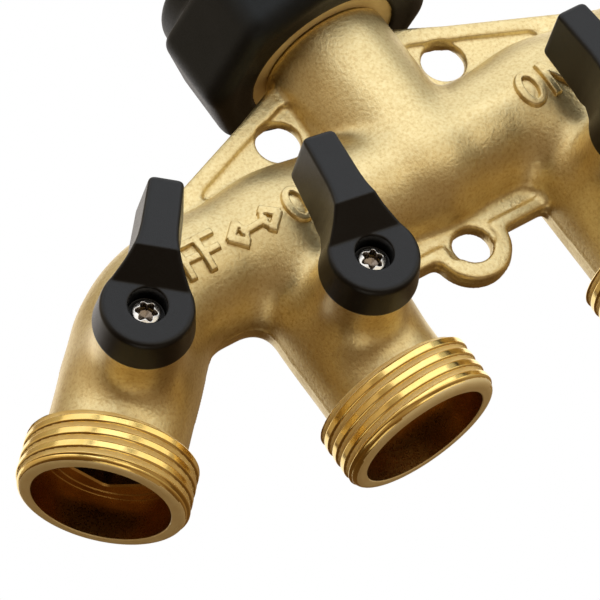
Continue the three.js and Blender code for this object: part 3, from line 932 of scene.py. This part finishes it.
def screw_steel():
    """Bright plated steel, with painted shade that darkens it down in the recess of the head."""
    look = Look("screw_steel", Metallic=1.0)
    depth = look.tree.nodes.new("ShaderNodeSeparateXYZ")
    look.tree.links.new(look.place, depth.inputs[0])
    # Painted shade: the steel turns dark brown with depth into the recess.
    height = look.span(depth.outputs["Y"], 0, 1, -21.7 * MM, -22.3 * MM)
    look.set("Base Color", look.ramp(height, [(0.0, (0.24, 0.20, 0.17)), (1.0, (0.78, 0.78, 0.78))]))
    look.set("Roughness", look.span(look.noise(3000, 2), 0.2, 0.3, 0.3, 0.7))
    look.set("Normal", look.bump(look.noise(1800, 2), 0.00001))
    return look.material


def seal_rubber():
    """Black rubber of the washer and the O-rings."""
    look = Look("seal_rubber")
    colours = [(0.3, (0.014, 0.014, 0.014)), (0.7, (0.026, 0.026, 0.026))]
    look.set("Base Color", look.ramp(look.noise(500, 3), colours))
    look.set("Roughness", look.span(look.noise(2500, 2), 0.5, 0.7, 0.3, 0.7))
    look.set("Normal", look.bump(look.noise(3000, 2), 0.00002))
    return look.material


def seat_plastic():
    """The seats, coloured dark brown as painted shade, because the photo shows only a dark hole there."""
    look = Look("seat_plastic")
    # Dark brown painted shade in place of the seats' own colour.
    colours = [(0.3, (0.06, 0.043, 0.025)), (0.7, (0.10, 0.075, 0.045))]
    look.set("Base Color", look.ramp(look.noise(400, 2), colours))
    look.set("Roughness", look.span(look.noise(2000, 2), 0.35, 0.45, 0.3, 0.7))
    look.set("Normal", look.bump(look.noise(2500, 2), 0.00001))
    return look.material


# ---------------------------------------------------------------- the object

CAST = cast_brass()
TURNED_LIT = turned_brass()
BRIGHT = bright_brass()
SHADED_BORE = bore_brass_painted_shade()
PLASTIC = black_plastic()
RUBBER = grip_rubber()
SEAL = seal_rubber()
STEEL_AND_SHADE = ball_steel_and_shade()
SCREW = screw_steel()
SEAT_SHADE = seat_plastic()

casting(CAST)
raised_lettering(CAST)
swivel_nut(TURNED_LIT)
nut_grip(RUBBER)
washer(SEAL)
for number in OUTLETS:
    threaded_end(number, TURNED_LIT, BRIGHT, SHADED_BORE)
    # The retainer takes the bores' dark brown painted shade.
    retainer(number, SHADED_BORE)
    # Both seats carry dark brown painted shade.
    seat(number, 1, "outer_seat", SEAT_SHADE)
    seat(number, -1, "inner_seat", SEAT_SHADE)
    ball(number, STEEL_AND_SHADE)
    lever(number, PLASTIC)
    screw(number, SCREW)

# The stems take the pale turned brass with its painted light, and the snap rings the ball's dark brown with its
# painted shade.
KEPT_NODES = {"valve_stem": TURNED_LIT, "stem_o_ring": SEAL, "snap_ring": STEEL_AND_SHADE}
for name, node in frame["nodes"].items():
    if node.hide_render:
        continue
    for start, material in KEPT_NODES.items():
        if name.startswith(start):
            node.data.materials.clear()
            node.data.materials.append(material)


# ---------------------------------------------------------------- studio

CENTRE = Vector((-0.02, 0, -0.06))
LIGHT_DISTANCE = 1.2
FLOOR_DROP = 0.7
FLOOR_HALF = 6.0
FLOOR_GLOW = 0.4
BRIGHT_SIDE = Vector((0.6, -0.45, 0.62))
WORLD_STOPS = [
    (0.0, (0.07, 0.036, 0.012)),
    (0.3, (0.12, 0.064, 0.022)),
    (0.5, (0.24, 0.15, 0.07)),
    (0.7, (0.46, 0.38, 0.27)),
    (1.0, (0.52, 0.52, 0.50)),
]


def plain(name, colour):
    """One even colour that glows a little, for the floor."""
    look = Look(name, Roughness=0.9)
    look.shader.inputs["Base Color"].default_value = (*colour, 1)
    look.shader.inputs["Emission Color"].default_value = (*colour, 1)
    look.shader.inputs["Emission Strength"].default_value = FLOOR_GLOW
    return look.material


def floor():
    """A plain pale floor below the camera. Only the camera sees it, so it doesn't light the part from below."""
    mesh = bpy.data.meshes.new("floor")
    height = cad_box[0][2] - FLOOR_DROP
    around = ((-1, -1), (1, -1), (1, 1), (-1, 1))
    corners = [(x * FLOOR_HALF, y * FLOOR_HALF, height) for x, y in around]
    mesh.from_pydata(corners, [], [(0, 1, 2, 3)])
    mesh.materials.append(plain("floor", (0.86, 0.86, 0.86)))
    piece = bpy.data.objects.new("floor", mesh)
    bpy.context.scene.collection.objects.link(piece)
    piece.visible_glossy = False
    piece.visible_diffuse = False
    piece.visible_shadow = False


def soft_box(name, azimuth, elevation, spread, radiance, colour=(1, 1, 1)):
    """A rectangular light facing the part.

    Azimuth is from -Y towards +X, and spread is the light's angular width and height.
    """
    side, rise = math.radians(azimuth), math.radians(elevation)
    toward = Vector((math.sin(side) * math.cos(rise), -math.cos(side) * math.cos(rise), math.sin(rise)))
    light = bpy.data.lights.new(name, "AREA")
    light.shape = "RECTANGLE"
    light.size, light.size_y = (2 * LIGHT_DISTANCE * math.tan(math.radians(angle / 2)) for angle in spread)
    light.energy = math.pi * light.size * light.size_y * radiance
    light.color = colour
    holder = bpy.data.objects.new(name, light)
    across = Vector((math.cos(side), math.sin(side), 0))
    turn = Matrix((across, toward.cross(across), toward)).transposed().to_4x4()
    holder.matrix_world = Matrix.Translation(CENTRE + toward * LIGHT_DISTANCE) @ turn
    bpy.context.scene.collection.objects.link(holder)


def world():
    """White as the camera sees it. As a light it is pale at the upper front right and a warm dark opposite."""
    scene_world = bpy.data.worlds.new("studio")
    scene_world.use_nodes = True
    tree = scene_world.node_tree
    light = tree.nodes["Background"]
    coordinates = tree.nodes.new("ShaderNodeTexCoord")
    along = tree.nodes.new("ShaderNodeVectorMath")
    along.operation = "DOT_PRODUCT"
    along.inputs[1].default_value = BRIGHT_SIDE.normalized()
    tree.links.new(coordinates.outputs["Generated"], along.inputs[0])
    shift = tree.nodes.new("ShaderNodeMapRange")
    shift.inputs["From Min"].default_value = -1
    tree.links.new(along.outputs["Value"], shift.inputs["Value"])
    ramp = tree.nodes.new("ShaderNodeValToRGB")
    fill_ramp(ramp, WORLD_STOPS)
    tree.links.new(shift.outputs["Result"], ramp.inputs["Fac"])
    tree.links.new(ramp.outputs["Color"], light.inputs["Color"])
    white = tree.nodes.new("ShaderNodeBackground")
    white.inputs["Color"].default_value = (1, 1, 1, 1)
    path = tree.nodes.new("ShaderNodeLightPath")
    mix = tree.nodes.new("ShaderNodeMixShader")
    tree.links.new(path.outputs["Is Camera Ray"], mix.inputs["Fac"])
    tree.links.new(light.outputs["Background"], mix.inputs[1])
    tree.links.new(white.outputs["Background"], mix.inputs[2])
    tree.links.new(mix.outputs["Shader"], tree.nodes["World Output"].inputs["Surface"])
    bpy.context.scene.world = scene_world


def camera():
    """From the front left and below, rolled so that the inlet points up and to the left of the picture."""
    azimuth, elevation, roll = (math.radians(a) for a in (-24.41, -20.32, -36.2))
    target = Vector((-29.44, 0, PIPE_Z - 10.3)) * MM
    distance = 503.2 * MM
    outward = Vector((math.sin(azimuth), -math.cos(azimuth), 0))
    back = outward * math.cos(elevation) + Vector((0, 0, math.sin(elevation)))
    level = Vector((math.cos(azimuth), math.sin(azimuth), 0))
    rise = back.cross(level)
    right = level * math.cos(roll) + rise * math.sin(roll)
    up = back.cross(right)
    data = bpy.data.cameras.new("camera")
    data.sensor_width = 36
    data.lens = 192.88
    data.clip_start = 0.01
    holder = bpy.data.objects.new("camera", data)
    turn = Matrix((right, up, back)).transposed().to_4x4()
    holder.matrix_world = Matrix.Translation(target + back * distance) @ turn
    bpy.context.scene.collection.objects.link(holder)
    bpy.context.scene.camera = holder


floor()
world()
camera()
bpy.context.scene.view_settings.view_transform = "Standard"
soft_box("key", azimuth=20, elevation=24, spread=(74, 29), radiance=0.98)
soft_box("low_front", azimuth=35, elevation=-11, spread=(80, 24), radiance=0.75, colour=(1, 0.9, 0.72))
soft_box("top", azimuth=20, elevation=66, spread=(90, 42), radiance=0.65)
soft_box("left", azimuth=-92, elevation=40, spread=(96, 50), radiance=0.33, colour=(1, 0.86, 0.62))
soft_box("rear", azimuth=162, elevation=33, spread=(90, 40), radiance=1.0)
soft_box("under", azimuth=-60, elevation=-74, spread=(56, 44), radiance=0.2, colour=(1, 0.8, 0.55))
soft_box("low_left", azimuth=-84, elevation=-46, spread=(40, 24), radiance=0.75, colour=(1, 0.9, 0.7))

bpy.context.view_layer.update()
